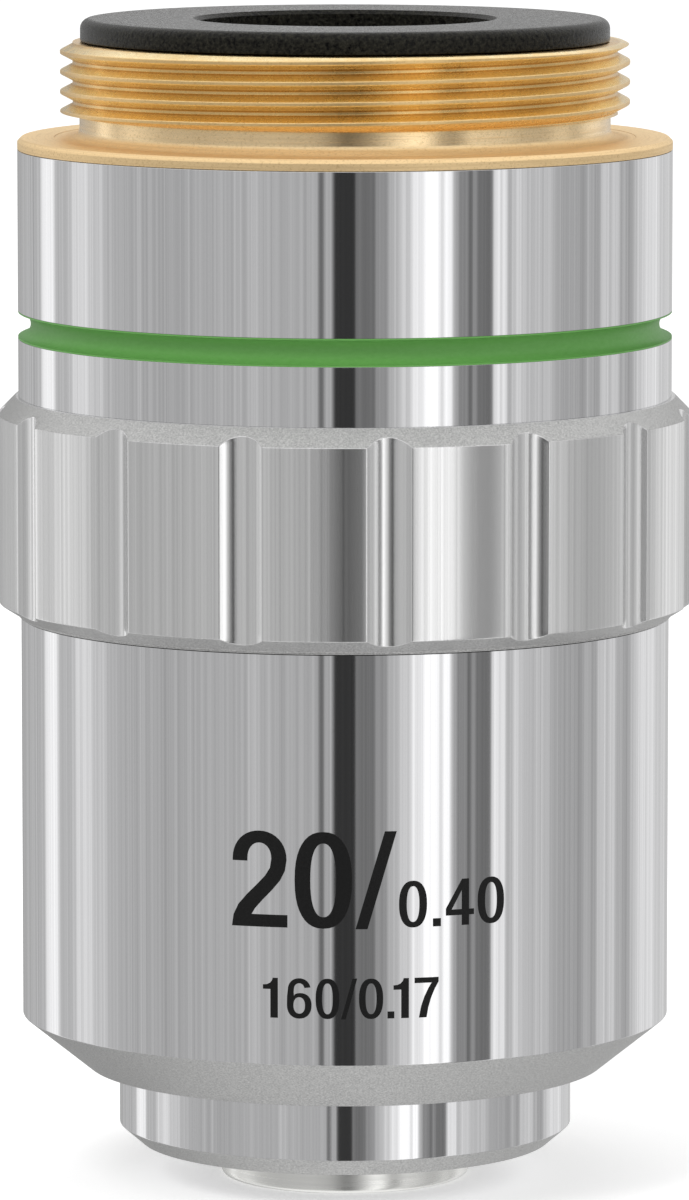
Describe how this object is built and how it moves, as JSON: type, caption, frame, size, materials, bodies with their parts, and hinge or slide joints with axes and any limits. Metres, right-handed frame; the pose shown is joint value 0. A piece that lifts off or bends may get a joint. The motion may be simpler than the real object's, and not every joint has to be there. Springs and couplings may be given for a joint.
{
  "type": "microscope objective",
  "caption": "Chromed microscope objective with fluted grip ring, green colour ring, brass mounting thread, black rear stop ring and a stepped nose; lenses in stacked cells inside.",
  "frame": {"origin": "centre of the front rim, the lowest face of the tip, which the objective stands on", "axes": "+Z along the optical axis from the front lens to the mounting thread; -Y is the side that the picture shows"},
  "size_m": [0.0247, 0.0248, 0.0415],
  "materials": {
    "brass": "turned brass, satin with bright thread crests",
    "chrome": "mirror chrome with fine turning marks; dull ground cone",
    "grip_chrome": "satin chrome with dull chamfers",
    "nose_chrome": "bright chrome with a dull chamfer",
    "polished_steel": "polished",
    "green_enamel": "satin enamel",
    "black_anodised": "black anodised, satin",
    "blackened_brass": "chemically blackened, dull",
    "bright_brass": "as turned",
    "screw_steel": "plain steel",
    "crown_glass": "polished and coated",
    "flint_glass": "polished and coated"
  },
  "bodies": {
    "root": {"mount": "brass", "upper_sleeve": "chrome", "colour_ring": "green_enamel", "grip_ring": "grip_chrome", "lower_sleeve": "chrome", "rear_stop_ring": "black_anodised", "lens_barrel": "nose_chrome", "centring_screw_1": "screw_steel", "centring_screw_2": "screw_steel", "centring_screw_3": "screw_steel", "focus_lock_ring": "blackened_brass", "front_cell": "polished_steel", "front_lens": "crown_glass", "second_cell": "bright_brass", "second_lens": "crown_glass", "front_spacer": "blackened_brass", "third_cell": "bright_brass", "third_crown_lens": "crown_glass", "third_flint_lens": "flint_glass", "middle_spacer": "blackened_brass", "fourth_cell": "bright_brass", "fourth_crown_lens": "crown_glass", "fourth_flint_lens": "flint_glass", "rear_spacer": "blackened_brass", "rear_cell": "blackened_brass", "rear_flint_lens": "flint_glass", "rear_crown_lens": "crown_glass", "cell_retaining_ring": "blackened_brass"}
  },
  "joints": []
}
